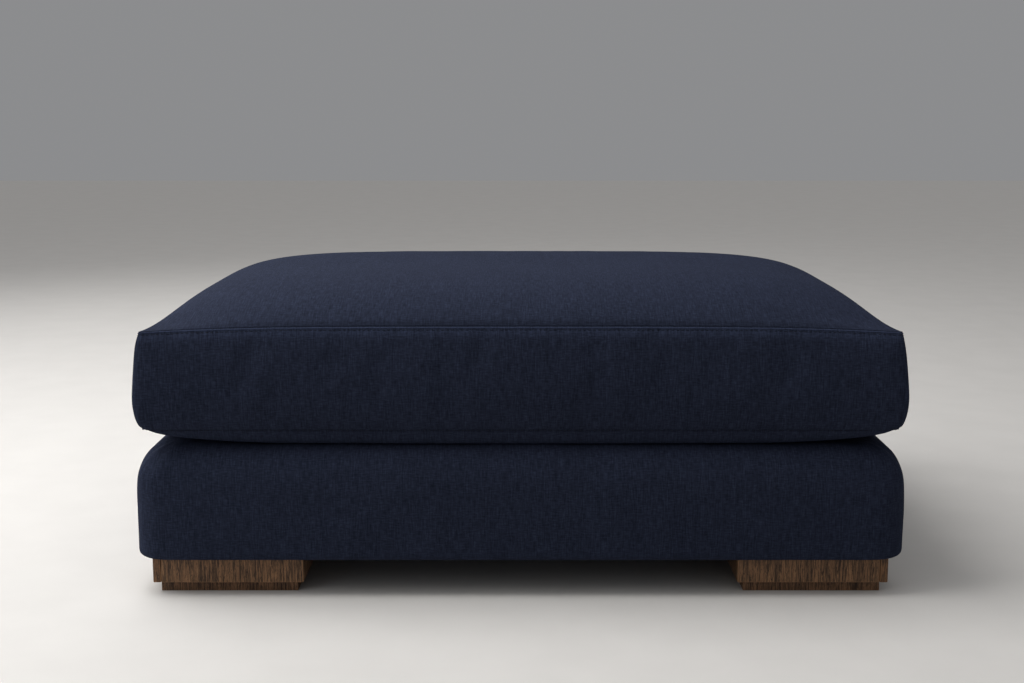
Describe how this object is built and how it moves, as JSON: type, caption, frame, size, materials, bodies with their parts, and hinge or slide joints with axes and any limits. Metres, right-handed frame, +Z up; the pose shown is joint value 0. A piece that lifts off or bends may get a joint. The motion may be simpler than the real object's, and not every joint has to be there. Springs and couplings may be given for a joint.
{
  "type": "footstool",
  "caption": "Wide upholstered footstool: a thick boxed cushion with a crowned top on a soft-edged base, raised on low stepped wooden block feet.",
  "frame": {"origin": "on the floor under the middle of the footstool", "axes": "+X along the width, +Y from front to back, +Z up; the front faces -Y"},
  "size_m": [1.1584, 0.808, 0.4635],
  "materials": {
    "navy_cloth": "matt dark navy upholstery cloth in a coarse plain weave",
    "block_wood": "satin mid-brown stained wood, grain upright",
    "plinth_wood": "satin dark brown stained wood"
  },
  "bodies": {
    "root": {"cushion": "navy_cloth", "base": "navy_cloth", "foot_block_front_left": "block_wood", "foot_block_front_right": "block_wood", "foot_block_back_left": "block_wood", "foot_block_back_right": "block_wood", "foot_plinth_front_left": "plinth_wood", "foot_plinth_front_right": "plinth_wood", "foot_plinth_back_left": "plinth_wood", "foot_plinth_back_right": "plinth_wood"}
  },
  "joints": []
}
